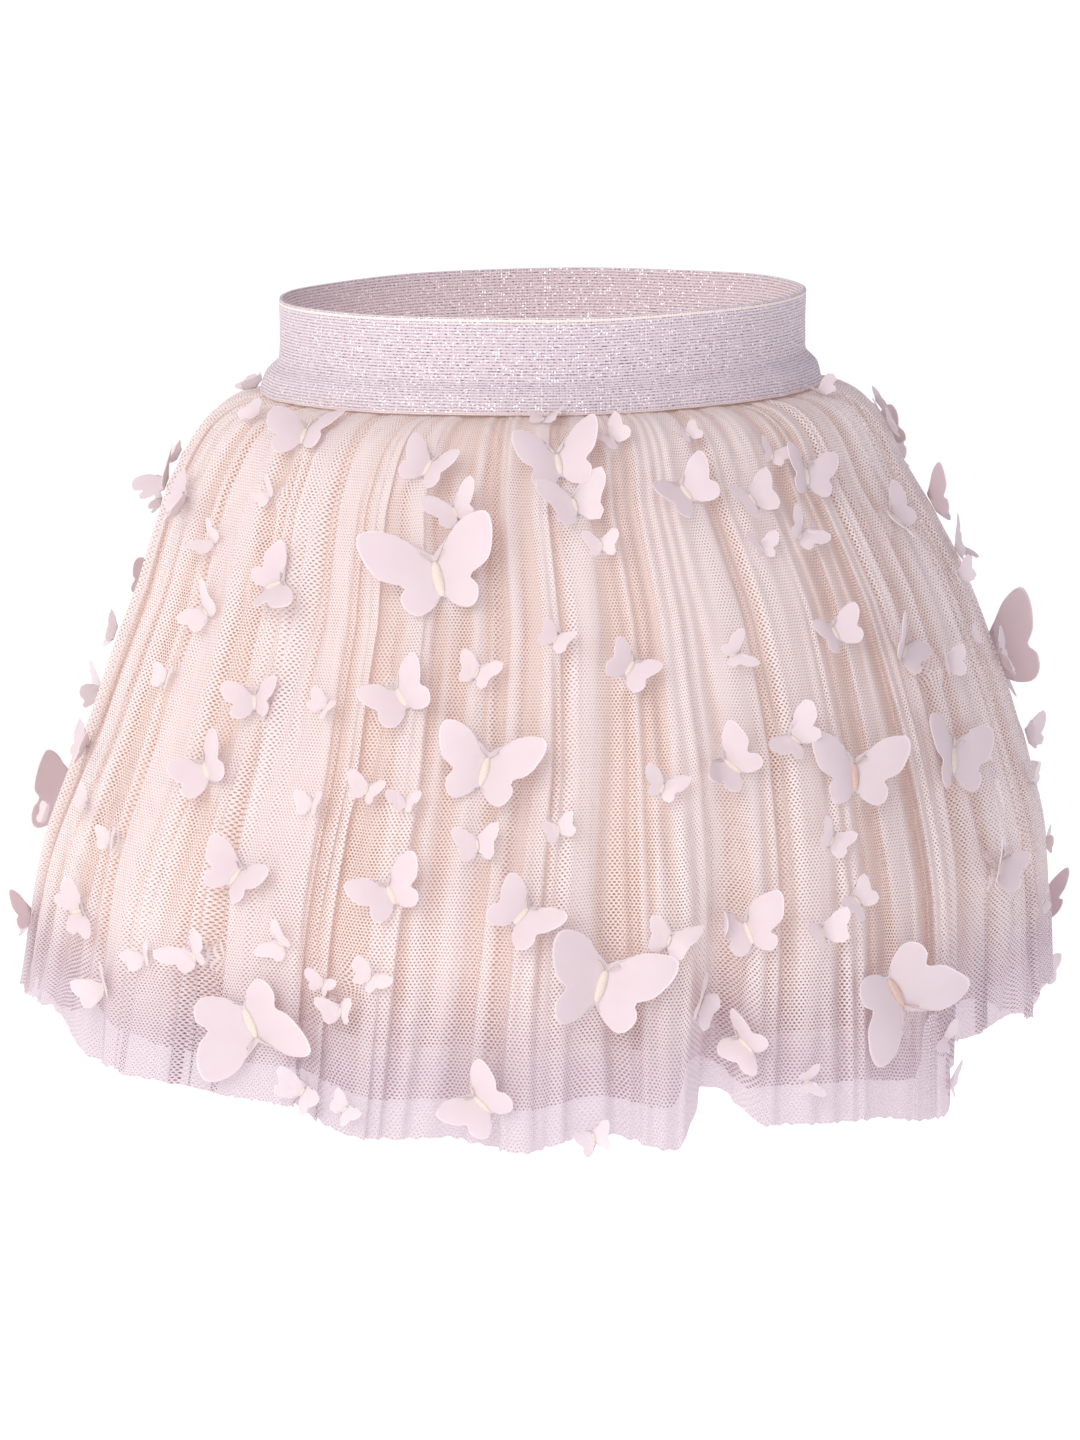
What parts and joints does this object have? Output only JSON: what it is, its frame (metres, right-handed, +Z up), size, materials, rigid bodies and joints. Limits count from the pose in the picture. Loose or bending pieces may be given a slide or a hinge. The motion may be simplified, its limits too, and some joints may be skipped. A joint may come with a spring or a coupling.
{
  "type": "tulle skirt",
  "caption": "Child's short gathered tulle skirt with a glitter elastic waistband, soft lining and sewn-on fabric butterflies, in its worn shape with waist and hem open.",
  "frame": {"origin": "centre of the waist opening, at half the height of the waistband, where the wearer holds the skirt up", "axes": "+Z up out of the waist opening, -Y towards the front, +X to the right as the front is looked at"},
  "size_m": [0.3832, 0.3318, 0.28],
  "materials": {
    "elastic": "knitted elastic with silver glitter yarn, satin",
    "net": "soft hexagonal net, sheer, matt",
    "under_net": "soft hexagonal net, sheer, matt",
    "lining": "fine woven lining, soft satin",
    "organza": "semi-sheer satin organza, cut edges, soft sheen"
  },
  "bodies": {
    "root": {"waistband": "elastic", "outer_tulle": "net", "under_tulle": "under_net", "lining": "lining", "butterfly_01": "organza", "butterfly_02": "organza", "butterfly_03": "organza", "butterfly_04": "organza", "butterfly_05": "organza", "butterfly_06": "organza", "butterfly_07": "organza", "butterfly_08": "organza", "butterfly_09": "organza", "butterfly_10": "organza", "butterfly_11": "organza", "butterfly_12": "organza", "butterfly_13": "organza", "butterfly_14": "organza", "butterfly_15": "organza", "butterfly_16": "organza", "butterfly_17": "organza", "butterfly_18": "organza", "butterfly_19": "organza", "butterfly_20": "organza", "butterfly_21": "organza", "butterfly_22": "organza", "butterfly_23": "organza", "butterfly_24": "organza", "butterfly_25": "organza", "butterfly_26": "organza", "butterfly_27": "organza", "butterfly_28": "organza", "butterfly_29": "organza", "butterfly_30": "organza", "butterfly_31": "organza", "butterfly_32": "organza", "butterfly_33": "organza", "butterfly_34": "organza", "butterfly_35": "organza", "butterfly_36": "organza", "butterfly_37": "organza", "butterfly_38": "organza", "butterfly_39": "organza", "butterfly_40": "organza", "butterfly_41": "organza", "butterfly_42": "organza", "butterfly_43": "organza", "butterfly_44": "organza", "butterfly_45": "organza", "butterfly_46": "organza", "butterfly_47": "organza", "butterfly_48": "organza", "butterfly_49": "organza", "butterfly_50": "organza", "butterfly_51": "organza", "butterfly_52": "organza", "butterfly_53": "organza", "butterfly_54": "organza", "butterfly_55": "organza"}
  },
  "joints": []
}
